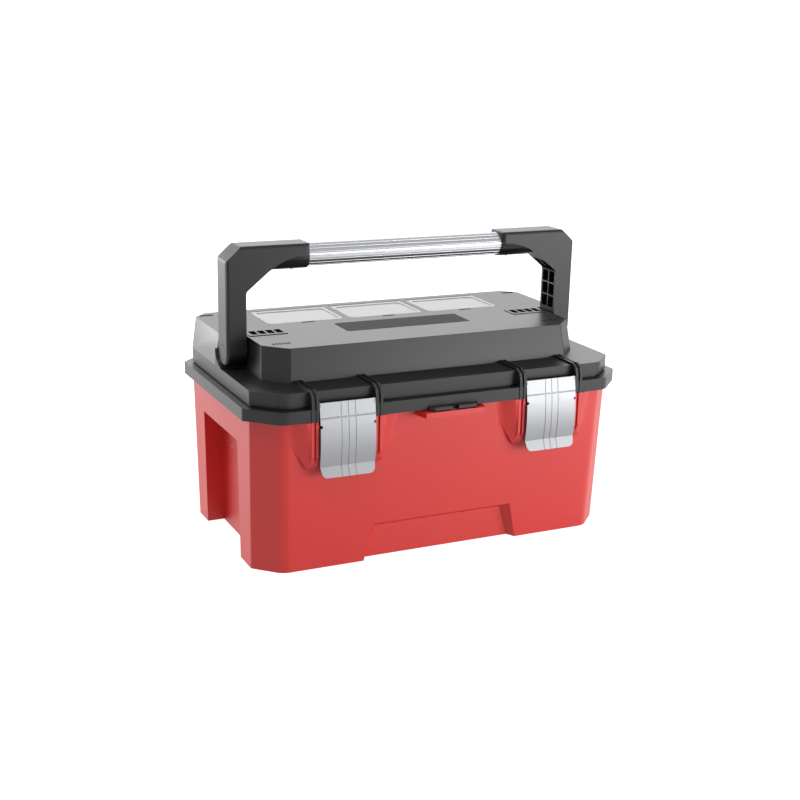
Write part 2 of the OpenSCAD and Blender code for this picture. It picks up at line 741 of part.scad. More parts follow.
module handle_arm() {
    y0 = pivot_y - arm_half;
    y1 = pivot_y + arm_half;
    difference() {
        union() {
            intersection() {
                along_y(arm_outline, y0, y1);
                // Rounded long edges, seen along the grip
                along_x(rounded([[y0, pivot_z - 9], [y1, pivot_z - 9], [y1, socket_high],
                                 [y0, socket_high]], arm_round, 4), socket_end - 1, arm_outer + 1);
                // Rounded upright edges, seen from above
                slab(rounded(rectangle(socket_end, y0, arm_outer, y1), arm_round, 4),
                     pivot_z, socket_high + 1);
            }
            bar_x([pivot_y, grip_z], socket_half_height, socket_end, arch[0].x + 3);
            arm_foot();
        }
        arm_pocket();
        bar_x([pivot_y, pivot_z], handle_pin_diameter / 2 + pin_fit, arm_inner - 1, arm_outer + 1);
        bar_x([pivot_y, pivot_z], handle_pin_diameter / 2 + 3 + gap,
              arm_outer - pin_head - gap, arm_outer + 1);
        bar_x([pivot_y, grip_z], grip_diameter / 2 + pin_fit, socket_end - 1, socket_end + socket_depth);
        grip_screw_space(pin_fit);
    }
}

module grip_screw_space(clear) {
    translate([socket_end + 16, pivot_y, grip_z - socket_half_height - 1])
        cylinder(r = 4.5 + clear, h = 2.2 + clear);
    translate([socket_end + 16, pivot_y, grip_z - socket_half_height - 1])
        cylinder(r = 2 + clear, h = 12 + clear);
}

module handle_arm_left() color([0.16, 0.16, 0.17]) at_end(-1) handle_arm();
module handle_arm_right() color([0.16, 0.16, 0.17]) at_end(1) handle_arm();

flutes = 20;
module grip_tube() color([0.86, 0.87, 0.88]) {
    end = socket_end + socket_depth - 1;
    difference() {
        bar_x([pivot_y, grip_z], grip_diameter / 2, -end, end);
        bar_x([pivot_y, grip_z], grip_diameter / 2 - grip_wall, -end - 1, end + 1);
        for (i = [0:flutes - 1]) {
            turn = 360 * i / flutes;
            bar_x([pivot_y, grip_z] + (grip_diameter / 2 + 0.5) * [cos(turn), sin(turn)], 1.1,
                  -end - 1, end + 1, $fn = 16);
        }
        at_both_ends() grip_screw_space(pin_fit);
    }
}

module grip_screws() color("silver") at_both_ends() {
    translate([socket_end + 16, pivot_y, grip_z - socket_half_height - 0.5])
        cylinder(r = 4.5, h = 1.7);
    translate([socket_end + 16, pivot_y, grip_z - socket_half_height - 0.5])
        cylinder(r = 2, h = 11);
}

module handle_pin() {
    bar_x([pivot_y, pivot_z], handle_pin_diameter / 2, arm_inner - 1 - pin_boss_length, arm_outer);
    bar_x([pivot_y, pivot_z], handle_pin_diameter / 2 + 3, arm_outer - pin_head, arm_outer);
}
module handle_pin_left() color([0.14, 0.14, 0.15]) at_end(-1) handle_pin();
module handle_pin_right() color([0.14, 0.14, 0.15]) at_end(1) handle_pin();

// ---------- latches ----------

// Outer face of the latch sheet in (y, z): a leaning head, a crowned body and a flared lip
latch_crown = 2.4;
groove_pitch = 9;
latch_face_points = concat(
    [[latch_pivot_y - 2.6, latch_pivot_z + 3.5], [latch_face - 1, latch_bend_z]],
    [for (i = [1:6])
        let (t = i / 6, z = latch_bend_z + (latch_foot_z - latch_bend_z) * t)
        [latch_face - 1 - latch_crown * 4 * t * (1 - t), z]],
    [[latch_face - 6, latch_lip_z]]);

module latch_plate() {
    last = len(latch_face_points) - 1;
    back = [for (i = [last:-1:0]) latch_face_points[i] + [latch_sheet, 0]];
    w = latch_width / 2;
    flange_x = w - latch_sheet;
    corner_z = latch_lip_z + 14;
    difference() {
        union() {
            intersection() {
                along_x(concat(latch_face_points, back), -w, w);
                along_y(concat([[-w, latch_pivot_z + 10], [-w, corner_z]],
                               corner_arc([-w, corner_z], [-w + 2, latch_lip_z], [0, latch_lip_z], 7, 5),
                               corner_arc([0, latch_lip_z], [w - 2, latch_lip_z], [w, corner_z], 7, 5),
                               [[w, corner_z], [w, latch_pivot_z + 10]]),
                        front_y - 20, front_y + 20);
            }
            for (s = [0, 1]) mirror([s, 0, 0]) {
                // Ear round the pin and the return edge below the notch
                bar_x([latch_pivot_y, latch_pivot_z], 3.6, flange_x, w);
                along_x([[latch_pivot_y - 2, latch_pivot_z + 2], [latch_face + 0.3, latch_bend_z - 4],
                         [latch_face + 4, latch_bend_z - 4], [latch_pivot_y + 2.5, latch_pivot_z - 2.5]],
                        flange_x, w);
                along_x([[latch_face - 2, latch_bend_z - 12], [latch_face, latch_foot_z + 4],
                         [latch_face + 4, latch_foot_z + 6], [latch_face + 4, latch_bend_z - 12]],
                        flange_x, w);
            }
            // Tongue that meets the tub's ledge
            box([-12, latch_face - 2, catch_z - 1.5], [12, channel_floor - 1 - gap, catch_z]);
        }
        bar_x([latch_pivot_y, latch_pivot_z], latch_pin_diameter / 2 + pin_fit, -w - 1, w + 1);
        // Notches in the long edges and the groove along the bend
        for (s = [-1, 1])
            box([s * (w - 1) - 1.5, latch_face - 8, latch_bend_z - 11.5],
                [s * (w - 1) + 1.5, latch_face + 5, latch_bend_z - 8]);
        bar_x([latch_face - 1.5, latch_bend_z], 1, -w - 1, w + 1);
        // Three pressed grooves
        for (x = [-groove_pitch, 0, groove_pitch])
            along_x([for (p = latch_face_points) p - [2, 0],
                     for (i = [last:-1:0]) latch_face_points[i] + [0.5, 0]],
                    x - 0.8, x + 0.8);
    }
}

module latch_plate_left() color([0.8, 0.81, 0.82]) translate([-latch_x, 0, 0]) latch_plate();
module latch_plate_right() color([0.8, 0.81, 0.82]) translate([latch_x, 0, 0]) latch_plate();

module latch_pin(side)
    bar_x([latch_pivot_y, latch_pivot_z], latch_pin_diameter / 2,
          side * latch_x - latch_width / 2 - 3.5, side * latch_x + latch_width / 2 + 3.5);
module latch_pin_left() color("silver") latch_pin(-1);
module latch_pin_right() color("silver") latch_pin(1);

// ---------- tray ----------

divider_sheet = 1.8;
cross_y = tray_front + tray_depth * 0.52;
cell_pitch = 2 * (tray_end - tray_wall) / tray_cells;

// Pair of ribs that holds a divider's edge
module divider_guides(x, y, along) {
    side = divider_sheet / 2 + seat_gap + 0.8;
    for (s = [-side, side])
        if (along) box([x, y + s - 0.8, tray_bottom + 1], [x + 3, y + s + 0.8, tray_top - 6]);
        else box([x + s - 0.8, y, tray_bottom + 1], [x + s + 0.8, y + 3, tray_top - 6]);
}

module tray() color([0.2, 0.2, 0.21]) {
    difference() {
        slab(rounded(rectangle(-tray_end, tray_front, tray_end, tray_rear), 10), tray_bottom, tray_top);
        slab(rounded(rectangle(-tray_end + tray_wall, tray_front + tray_wall,
                               tray_end - tray_wall, tray_rear - tray_wall), 8),
             tray_bottom + tray_wall, tray_top + 1);
        at_both_ends() for (p = [rear_tray_pin, front_tray_pin])
            bar_x(p, link_pin_radius + pin_fit, tray_end - 10, tray_end + 1);
    }
    at_both_ends() divider_guides(tray_end - tray_wall - 3, cross_y, true);
    for (i = [1:tray_cells - 1])
        divider_guides(-tray_end + tray_wall + i * cell_pitch, tray_front + tray_wall, false);
}

// Long wall from end to end of the tray
module tray_divider_long() color([0.32, 0.32, 0.33])
    box([-tray_end + tray_wall + seat_gap, cross_y - divider_sheet / 2, tray_bottom + tray_wall + seat_gap],
        [tray_end - tray_wall - seat_gap, cross_y + divider_sheet / 2, tray_top - 8]);

// Short walls between the long wall and the tray's front
module tray_divider_cross() color([0.32, 0.32, 0.33])
    for (i = [1:tray_cells - 1])
        translate([-tray_end + tray_wall + i * cell_pitch, 0, 0])
            box([-divider_sheet / 2, tray_front + tray_wall + seat_gap, tray_bottom + tray_wall + seat_gap],
                [divider_sheet / 2, cross_y - divider_sheet / 2 - seat_gap, tray_top - 8]);

// ---------- links ----------

// Pin with a collar below the strip and a head above it
module stud(centre, foot, collar_end, strip_end, collar = 2) {
    bar_x(centre, link_pin_radius, foot, strip_end + seat_gap + head_sheet);
    bar_x(centre, link_pin_radius + collar, collar_end[0], collar_end[1]);
    bar_x(centre, link_pin_radius + collar, strip_end + seat_gap, strip_end + seat_gap + head_sheet);
}

module tray_pins() color("silver") at_both_ends()
    for (p = [rear_tray_pin, front_tray_pin])
        stud(p, tray_end - tray_wall, [tray_end, link_in - seat_gap], link_out);

// Flat strip between two pivots given in (y, z)
module strip(a, b, x0, x1) {
    dir = unit(b - a);
    side = [-dir[1], dir[0]] * link_width / 2;
    for (p = [a, b]) bar_x(p, link_width / 2, x0, x1);
    along_x([a - side, b - side, b + side, a + side], x0, x1);
}

module front_link()
    difference() {
        strip(front_tray_pin, front_case_pin, link_in, link_out);
        bar_x(front_case_pin, link_pin_radius + pin_fit, link_in - 1, link_out + 1);
        // The loop's open pivot runs with more room than the rest
        bar_x(front_tray_pin, link_pin_radius + seat_gap, link_in - 1, link_out + 1);
    }

// Bell crank: the rear strip with the arm that the lid drives
module rear_link()
    difference() {
        union() {
            strip(rear_tray_pin, rear_case_pin, link_in, link_out);
            strip(rear_case_pin, crank_pin, link_in, link_out);
        }
        for (p = [rear_tray_pin, rear_case_pin, crank_pin])
            bar_x(p, link_pin_radius + pin_fit, link_in - 1, link_out + 1);
    }

module front_link_left() color([0.72, 0.73, 0.75]) at_end(-1) front_link();
module front_link_right() color([0.72, 0.73, 0.75]) at_end(1) front_link();
module rear_link_left() color([0.72, 0.73, 0.75]) at_end(-1) rear_link();
module rear_link_right() color([0.72, 0.73, 0.75]) at_end(1) rear_link();

// Rivets that join the cranks to the drive links
module crank_pins() color("silver") at_both_ends() {
    bar_x(crank_pin, link_pin_radius, drive_in - seat_gap - head_sheet, link_out + 1.2);
    bar_x(crank_pin, link_pin_radius + 1.5, drive_in - seat_gap - head_sheet, drive_in - seat_gap);
    bar_x(crank_pin, link_pin_radius + 1.5, link_out, link_out + 1.2);
}

// The drive link runs from the crank to the lid's lug and stays parallel to itself
module drive_link()
    difference() {
        strip(crank_pin, lid_link_pin, drive_in, drive_out);
        bar_x(lid_link_pin, link_pin_radius + pin_fit, drive_in - 1, drive_out + 1);
        bar_x(crank_pin, link_pin_radius + seat_gap, drive_in - 1, drive_out + 1);
    }

module drive_link_left() color([0.72, 0.73, 0.75]) at_end(-1) drive_link();
module drive_link_right() color([0.72, 0.73, 0.75]) at_end(1) drive_link();

module lid_link_pins() color("silver") at_both_ends() {
    bar_x(lid_link_pin, link_pin_radius, drive_in - seat_gap - head_sheet, link_in + 3.7);
    bar_x(lid_link_pin, link_pin_radius + 1.5, drive_in - seat_gap - head_sheet, drive_in - seat_gap);
    bar_x(lid_link_pin, link_pin_radius + 1.5, link_in + 2.5, link_in + 3.7);
}

// ---------- pivot brackets ----------

bracket_low = end_recess_height - 52;
screw_points = [for (dy = [-12, 12])
    [(front_case_pin[0] + rear_case_pin[0]) / 2 + dy, bracket_low + 14]];

// Steel plate on the inside of the end recess that carries the two link pivots
module pivot_bracket() {
    y0 = front_case_pin[0] - 11;
    y1 = rear_case_pin[0] + 11;
    difference() {
        along_x(rounded([[y0, bracket_low], [y1, bracket_low], [y1, rear_case_pin[1] + 9],
                         [rear_case_pin[0] - 12, rear_case_pin[1] + 9], [y0, front_case_pin[1] + 11]], 4),
                bracket_in, bracket_out);
        for (p = [front_case_pin, rear_case_pin])
            bar_x(p, link_pin_radius + pin_fit / 2, bracket_in - 1, bracket_out + 1);
        bracket_screw_holes(bracket_in - 1, bracket_out + 1);
    }
}

module bracket_screw_holes(x0, x1) for (p = screw_points) bar_x(p, 2.2, x0, x1);

module pivot_bracket_left() color([0.72, 0.73, 0.75]) at_end(-1) pivot_bracket();
module pivot_bracket_right() color([0.72, 0.73, 0.75]) at_end(1) pivot_bracket();

module bracket_pins() color("silver") at_both_ends()
    for (p = [front_case_pin, rear_case_pin]) {
        bar_x(p, link_pin_radius, link_in - 0.3, bracket_out);
        bar_x(p, link_pin_radius + 2, link_out + seat_gap, bracket_in);
    }

module bracket_screws() color("silver") at_both_ends()
    for (p = screw_points) {
        bar_x(p, 2.15, bracket_in, recess_x);
        bar_x(p, 4.5, bracket_in - 2, bracket_in);
    }

tub();
latch_ribs();
latch_ledges();
padlock_tab();
padlock_eye();
lid_shell();
hinge_pins();
label_plate();
bin_cover_left();
bin_cover_middle();
bin_cover_right();
bin_cover_pins();
bin_divider_left();
bin_divider_middle();
bin_divider_right();
handle_arm_left();
handle_arm_right();
grip_tube();
grip_screws();
handle_pin_left();
handle_pin_right();
latch_plate_left();
latch_plate_right();
latch_pin_left();
latch_pin_right();
tray();
tray_divider_long();
tray_divider_cross();
tray_pins();
front_link_left();
front_link_right();
rear_link_left();
rear_link_right();
crank_pins();
drive_link_left();
drive_link_right();
lid_link_pins();
pivot_bracket_left();
pivot_bracket_right();
bracket_pins();
bracket_screws();
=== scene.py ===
"""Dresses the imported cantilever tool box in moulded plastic, steel, aluminium and frosted covers."""

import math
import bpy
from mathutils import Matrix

bl_info = {
    "name": "Cantilever tool box",
    "version": (1, 0, 0),
    "blender": (4, 5, 0),
    "location": "View3D > Sidebar > Tool box",
    "description": "Dresses the packed tool box and sets up its studio",
    "category": "Object",
}

import bpy
from mathutils import Matrix, Vector

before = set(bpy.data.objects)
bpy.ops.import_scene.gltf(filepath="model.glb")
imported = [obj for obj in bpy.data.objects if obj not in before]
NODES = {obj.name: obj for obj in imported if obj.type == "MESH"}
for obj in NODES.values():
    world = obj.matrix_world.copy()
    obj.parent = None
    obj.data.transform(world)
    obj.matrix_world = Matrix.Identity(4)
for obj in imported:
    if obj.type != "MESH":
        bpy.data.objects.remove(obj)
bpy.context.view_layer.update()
MM = 0.001


def linear(hex_colour):
    """An sRGB hex colour as linear RGBA."""
    parts = [int(hex_colour[i : i + 2], 16) / 255 for i in (1, 3, 5)]
    light = [c / 12.92 if c <= 0.04045 else ((c + 0.055) / 1.055) ** 2.4 for c in parts]
    return (*light, 1.0)


class BoxColours(bpy.types.PropertyGroup):
    """Colours of the tool box."""

    tub: bpy.props.FloatVectorProperty(
        name="Tub", description="Red of the moulded tub", subtype="COLOR",
        size=4, min=0, max=1, default=linear("#CC2019"))
    lid: bpy.props.FloatVectorProperty(
        name="Lid", description="Black of the moulded lid", subtype="COLOR",
        size=4, min=0, max=1, default=linear("#19191B"))
    arm: bpy.props.FloatVectorProperty(
        name="Handle arms", description="Black of the handle arms", subtype="COLOR",
        size=4, min=0, max=1, default=linear("#1A1A1C"))
    cover: bpy.props.FloatVectorProperty(
        name="Bin covers", description="Tint of the frosted covers", subtype="COLOR",
        size=4, min=0, max=1, default=linear("#BFBDBA"))
    plate: bpy.props.FloatVectorProperty(
        name="Bare plate", description="Dark satin of the plate on the lid", subtype="COLOR",
        size=4, min=0, max=1, default=linear("#151517"))
    tray: bpy.props.FloatVectorProperty(
        name="Tray", description="Grey of the tray and dividers", subtype="COLOR",
        size=4, min=0, max=1, default=linear("#46464A"))
    aluminium: bpy.props.FloatVectorProperty(
        name="Grip", description="Anodised aluminium of the grip", subtype="COLOR",
        size=4, min=0, max=1, default=linear("#ABACAF"))
    sheet: bpy.props.FloatVectorProperty(
        name="Latches", description="Brushed steel of the latches", subtype="COLOR",
        size=4, min=0, max=1, default=linear("#8B8C8F"))
    zinc: bpy.props.FloatVectorProperty(
        name="Links", description="Zinc plating of links and pins", subtype="COLOR",
        size=4, min=0, max=1, default=linear("#B9BCC2"))


class BoxSizes(bpy.types.PropertyGroup):
    """Edge roundings of the moulded pieces."""

    tub_edge: bpy.props.FloatProperty(
        name="Tub edge", description="Radius of the tub's edges", unit="LENGTH",
        subtype="DISTANCE", precision=5, min=0.1 * MM, max=2 * MM, default=0.7 * MM)
    lid_edge: bpy.props.FloatProperty(
        name="Lid edge", description="Radius of the lid's edges", unit="LENGTH",
        subtype="DISTANCE", precision=5, min=0.1 * MM, max=2 * MM, default=0.98 * MM)
    arm_edge: bpy.props.FloatProperty(
        name="Arm edge", description="Radius of the handle arms' edges", unit="LENGTH",
        subtype="DISTANCE", precision=5, min=0.1 * MM, max=2 * MM, default=1.54 * MM)
    tray_edge: bpy.props.FloatProperty(
        name="Tray edge", description="Radius of the tray's edges", unit="LENGTH",
        subtype="DISTANCE", precision=5, min=0.1 * MM, max=2 * MM, default=0.28 * MM)


# ---------- finishes ----------


def add(tree, kind, links=(), sockets=(), **settings):
    """Adds one node with its settings, its sockets' values and its incoming links.
    A link is (input, node, output)."""
    made = tree.nodes.new(kind)
    for name, value in settings.items():
        setattr(made, name, value)
    for name, value in dict(sockets).items():
        made.inputs[name].default_value = value
    for name, source, output in links:
        tree.links.new(source.outputs[output], made.inputs[name])
    return made


def new_material(name):
    """An empty node material and its tree."""
    made = bpy.data.materials.get(name) or bpy.data.materials.new(name)
    made.use_nodes = True
    made.node_tree.nodes.clear()
    return made, made.node_tree


# How far apart the plastic's tones lie where it flowed in the mould
FLOW_MM = 111


def moulded_plastic(name, colour, roughness, grain_mm, grain_depth_mm, level=0.5, shift=0.05):
    """Injection-moulded plastic: an even colour with slow changes of tone from flow in the mould,
    and a spark-eroded grain that spreads its gloss. The real grain is about 0.3 mm, and is drawn
    coarser so that it shows."""
    made, tree = new_material(name)
    at = add(tree, "ShaderNodeTexCoord")
    flow = add(tree, "ShaderNodeTexNoise", [("Vector", at, "Object")],
               {"Scale": 1 / (FLOW_MM * MM), "Detail": 2.0, "Roughness": 0.5})
    tone = add(tree, "ShaderNodeMix", [("Factor", flow, "Fac")], data_type="RGBA")
    tone.inputs["A"].default_value = (*(c * (1 - shift) for c in colour[:3]), 1.0)
    tone.inputs["B"].default_value = (*(min(1.0, c * (1 + shift)) for c in colour[:3]), 1.0)
    grain = add(tree, "ShaderNodeTexNoise", [("Vector", at, "Object")],
                {"Scale": 1 / (grain_mm * MM), "Detail": 3.0, "Roughness": 0.6})
    sheen = add(tree, "ShaderNodeMapRange", [("Value", grain, "Fac")],
                {"To Min": roughness - 0.05, "To Max": roughness + 0.07})
    relief = add(tree, "ShaderNodeBump", [("Height", grain, "Fac")],
                 {"Strength": 0.35, "Distance": grain_depth_mm * MM})
    shader = add(tree, "ShaderNodeBsdfPrincipled",
                 [("Base Color", tone, "Result"), ("Roughness", sheen, "Result"),
                  ("Normal", relief, "Normal")],
                 {"IOR": 1.49, "Specular IOR Level": level})
    add(tree, "ShaderNodeOutputMaterial", [("Surface", shader, "BSDF")])
    return made


def brushed_metal(name, colour, roughness, stretch, scratch_mm, depth_mm):
    """Metal with fine parallel scratches: the gloss runs out in a streak across them. The real
    scratches are under 0.1 mm apart, and are drawn wider so that they show."""
    made, tree = new_material(name)
    at = add(tree, "ShaderNodeTexCoord")
    long_way = add(tree, "ShaderNodeMapping", [("Vector", at, "Object")], {"Scale": stretch})
    lines = add(tree, "ShaderNodeTexNoise", [("Vector", long_way, "Vector")],
                {"Scale": 1 / (scratch_mm * MM), "Detail": 2.0, "Roughness": 0.6})
    tone = add(tree, "ShaderNodeMix", [("Factor", lines, "Fac")], data_type="RGBA")
    tone.inputs["A"].default_value = (*(c * 0.9 for c in colour[:3]), 1.0)
    tone.inputs["B"].default_value = (*colour[:3], 1.0)
    spread = add(tree, "ShaderNodeMapRange", [("Value", lines, "Fac")],
                 {"To Min": roughness - 0.06, "To Max": roughness + 0.08})
    relief = add(tree, "ShaderNodeBump", [("Height", lines, "Fac")],
                 {"Strength": 0.3, "Distance": depth_mm * MM})
    shader = add(tree, "ShaderNodeBsdfPrincipled",
                 [("Base Color", tone, "Result"), ("Roughness", spread, "Result"),
                  ("Normal", relief, "Normal")],
                 {"Metallic": 1.0})
    add(tree, "ShaderNodeOutputMaterial", [("Surface", shader, "BSDF")])
    return made


def frosted_polycarbonate(name, colour, frost_mm, frost_depth_mm):
    """Moulded polycarbonate with a fine frosting: pale where it catches the light, and dimly
    see-through. The frosting is drawn coarser than the real one so that it shows."""
    made, tree = new_material(name)
    at = add(tree, "ShaderNodeTexCoord")
    frost = add(tree, "ShaderNodeTexNoise", [("Vector", at, "Object")],
                {"Scale": 1 / (frost_mm * MM), "Detail": 2.0, "Roughness": 0.5})
    haze = add(tree, "ShaderNodeMapRange", [("Value", frost, "Fac")], {"To Min": 0.28, "To Max": 0.42})
    relief = add(tree, "ShaderNodeBump", [("Height", frost, "Fac")],
                 {"Strength": 0.2, "Distance": frost_depth_mm * MM})
    shader = add(tree, "ShaderNodeBsdfPrincipled",
                 [("Roughness", haze, "Result"), ("Normal", relief, "Normal")],
                 {"Base Color": colour, "Transmission Weight": 0.35, "IOR": 1.58})
    add(tree, "ShaderNodeOutputMaterial", [("Surface", shader, "BSDF")])
    return made


def dress(slot, material, *names):
    """Gives CAD pieces one material; the slot argument is not used."""
    for name in names:
        piece = NODES[name]
        piece.data.materials.clear()
        piece.data.materials.append(material)


# ---------- edges ----------

WELD_LIMIT = 0.01 * MM
# Folds flatter than the first are merged, steeper than the second are rounded,
# and steeper than the third stay sharp in the shading of the smooth pieces
FLAT_ANGLE, ROUNDED_ANGLE, SHARP_ANGLE = (math.radians(v) for v in (0.5, 28, 24))


def weld(piece):
    """Joins a CAD piece's doubled vertices in a modifier, so that its faces meet."""
    piece.modifiers.new("weld", "WELD").merge_threshold = WELD_LIMIT


def round_edges(width, *names):
    """Rounds the moulded edges of CAD pieces in modifiers."""
    for name in names:
        piece = NODES[name]
        weld(piece)
        flat = piece.modifiers.new("flat_faces", "DECIMATE")
        flat.decimate_type = "DISSOLVE"
        flat.angle_limit = FLAT_ANGLE
        bevel = piece.modifiers.new("edges", "BEVEL")
        bevel.width = width
        bevel.segments = 2
        bevel.limit_method = "ANGLE"
        bevel.angle_limit = ROUNDED_ANGLE
        bevel.use_clamp_overlap = True
        bevel.harden_normals = True


def smooth_by_angle():
    """A modifier's node group that shades faces smooth and leaves steep folds sharp."""
    tree = bpy.data.node_groups.new("smooth_by_angle", "GeometryNodeTree")
    for way in ("INPUT", "OUTPUT"):
        tree.interface.new_socket("Geometry", in_out=way, socket_type="NodeSocketGeometry")
    shape = add(tree, "NodeGroupInput")
    faces = add(tree, "GeometryNodeSetShadeSmooth", [("Geometry", shape, "Geometry")], domain="FACE")
    fold = add(tree, "GeometryNodeInputMeshEdgeAngle")
    sharp = add(tree, "FunctionNodeCompare", [("A", fold, "Unsigned Angle")], {"B": SHARP_ANGLE},
                data_type="FLOAT", operation="GREATER_THAN")
    edges = add(tree, "GeometryNodeSetShadeSmooth",
                [("Geometry", faces, "Geometry"), ("Selection", sharp, "Result")],
                {"Shade Smooth": False}, domain="EDGE")
    add(tree, "NodeGroupOutput", [("Geometry", edges, "Geometry")])
    return tree


def shade_smooth(*names):
    """Shades curved CAD pieces smooth, so that their facets don't show."""
    soft = bpy.data.node_groups.get("smooth_by_angle") or smooth_by_angle()
    for name in names:
        weld(NODES[name])
        NODES[name].modifiers.new("soft", "NODES").node_group = soft


# ---------- pieces ----------


class BOX_OT_tub(bpy.types.Operator):
    """Dresses the red tub with its latch ribs, ledges and padlock tab"""

    bl_idname = "box.tub"
    bl_label = "Tub"

    def execute(self, context):
        # Bright red with a broad, soft sheen
        red = moulded_plastic("red_moulded_polypropylene", context.scene.box_colours.tub,
                              roughness=0.42, grain_mm=0.8, grain_depth_mm=0.05, level=0.7)
        dress("red_shell", red, "tub", "latch_ribs", "latch_ledges", "padlock_tab")
        round_edges(context.scene.box_sizes.tub_edge, "tub")
        shade_smooth("latch_ribs")
        return {"FINISHED"}


class BOX_OT_lid(bpy.types.Operator):
    """Dresses the black lid"""

    bl_idname = "box.lid"
    bl_label = "Lid"

    def execute(self, context):
        # Near black, and grey where the flat top mirrors the light behind it
        black = moulded_plastic("black_moulded_polypropylene", context.scene.box_colours.lid,
                                roughness=0.36, grain_mm=0.8, grain_depth_mm=0.05, level=0.38)
        dress("black_shell", black, "lid_shell")
        round_edges(context.scene.box_sizes.lid_edge, "lid_shell")
        return {"FINISHED"}


class BOX_OT_plate(bpy.types.Operator):
    """Dresses the bare plate on the lid"""

    bl_idname = "box.plate"
    bl_label = "Bare plate"

    def execute(self, context):
        # Dull, so that it stays darker than the lid round it
        satin = moulded_plastic("dark_satin_vinyl", context.scene.box_colours.plate,
                                roughness=0.6, grain_mm=1.5, grain_depth_mm=0.02, level=0.12)
        dress("label", satin, "label_plate")
        return {"FINISHED"}


class BOX_OT_covers(bpy.types.Operator):
    """Dresses the three frosted bin covers"""

    bl_idname = "box.covers"
    bl_label = "Bin covers"

    def execute(self, context):
        # Pale windows in the dark lid
        frosted = frosted_polycarbonate("frosted_polycarbonate", context.scene.box_colours.cover,
                                        frost_mm=0.9, frost_depth_mm=0.04)
        dress("clear_cover", frosted, "bin_cover_left", "bin_cover_middle", "bin_cover_right")
        return {"FINISHED"}


class BOX_OT_arms(bpy.types.Operator):
    """Dresses the handle's two arms and their pivot pins"""

    bl_idname = "box.arms"
    bl_label = "Handle arms"

    def execute(self, context):
        # Black and a little duller than the lid
        nylon = moulded_plastic("black_glass_filled_nylon", context.scene.box_colours.arm,
                                roughness=0.38, grain_mm=0.6, grain_depth_mm=0.04, level=0.3)
        dress("black_arm", nylon, "handle_arm_left", "handle_arm_right", "handle_pin_left",
              "handle_pin_right")
        round_edges(context.scene.box_sizes.arm_edge, "handle_arm_left", "handle_arm_right")
        return {"FINISHED"}


class BOX_OT_grip(bpy.types.Operator):
    """Dresses the fluted grip tube"""

    bl_idname = "box.grip"
    bl_label = "Grip tube"

    def execute(self, context):
        # Silvery, with bright and grey lines along its flutes
        aluminium = brushed_metal("anodised_aluminium", context.scene.box_colours.aluminium,
                                  roughness=0.34, stretch=(0.004, 1, 1), scratch_mm=0.25,
                                  depth_mm=0.0005)
        dress("grip_metal", aluminium, "grip_tube")
        shade_smooth("grip_tube")
        return {"FINISHED"}


class BOX_OT_latches(bpy.types.Operator):
    """Dresses the two sprung-steel latches"""

    bl_idname = "box.latches"
    bl_label = "Latches"

    def execute(self, context):
        # A soft grey that runs from bright at the top to darker below
        sheet = brushed_metal("brushed_spring_steel", context.scene.box_colours.sheet,
                              roughness=0.46, stretch=(1, 1, 0.02), scratch_mm=0.4, depth_mm=0.012)
        dress("latch_metal", sheet, "latch_plate_left", "latch_plate_right")
        shade_smooth("latch_plate_left", "latch_plate_right")
        return {"FINISHED"}


class BOX_OT_tray(bpy.types.Operator):
    """Dresses the tray and the loose dividers of tray and bins"""

    bl_idname = "box.tray"
    bl_label = "Tray and dividers"

    def execute(self, context):
        # Plain dark grey with a low sheen
        grey = moulded_plastic("grey_moulded_polypropylene", context.scene.box_colours.tray,
                               roughness=0.5, grain_mm=0.8, grain_depth_mm=0.05)
        dress("tray_plastic", grey, "tray", "tray_divider_long", "tray_divider_cross",
              "bin_divider_left", "bin_divider_middle", "bin_divider_right")
        round_edges(context.scene.box_sizes.tray_edge, "tray")
        return {"FINISHED"}


class BOX_OT_links(bpy.types.Operator):
    """Dresses the tray's links and their brackets"""

    bl_idname = "box.links"
    bl_label = "Links and brackets"

    def execute(self, context):
        # Bluish silver, a little cloudy
        plated = brushed_metal("zinc_plated_steel", context.scene.box_colours.zinc,
                               roughness=0.36, stretch=(1, 0.4, 0.4), scratch_mm=1.2, depth_mm=0.02)
        dress("link_steel", plated, "front_link_left", "front_link_right", "rear_link_left",
              "rear_link_right", "drive_link_left", "drive_link_right", "pivot_bracket_left",
              "pivot_bracket_right")
        return {"FINISHED"}


class BOX_OT_pins(bpy.types.Operator):
    """Dresses the metal pins, rivets, screws and the padlock's bush"""

    bl_idname = "box.pins"
    bl_label = "Pins and screws"

    def execute(self, context):
        # Bright, with turning marks round each pin
        turned = brushed_metal("turned_steel", context.scene.box_colours.zinc,
                               roughness=0.3, stretch=(0.1, 1, 1), scratch_mm=0.5, depth_mm=0.02)
        dress("steel", turned, "padlock_eye", "hinge_pins", "bin_cover_pins", "grip_screws",
              "latch_pin_left", "latch_pin_right", "tray_pins", "crank_pins", "lid_link_pins",
              "bracket_pins", "bracket_screws")
        return {"FINISHED"}


# ---------- studio ----------

CAMERA_AT = (-0.73353, -1.52656, 0.64710)
CAMERA_AZIMUTH, CAMERA_ELEVATION, CAMERA_ROLL = -25.72, 16.11, 1.33
CAMERA_LENS = 60.67


def camera_turn():
    """Rotation of a camera that looks from azimuth and elevation, with its roll."""
    a, e, r = (math.radians(v) for v in (CAMERA_AZIMUTH, CAMERA_ELEVATION, CAMERA_ROLL))
    back = Vector((math.sin(a) * math.cos(e), -math.cos(a) * math.cos(e), math.sin(e)))
    right = (-back).cross(Vector((0, 0, 1))).normalized()
    up = right.cross(-back)
    across = right * math.cos(r) + up * math.sin(r)
    upward = -right * math.sin(r) + up * math.cos(r)
    return Matrix((across, upward, back)).transposed()


LIT_POINT = Vector((0, 0, 0.18))
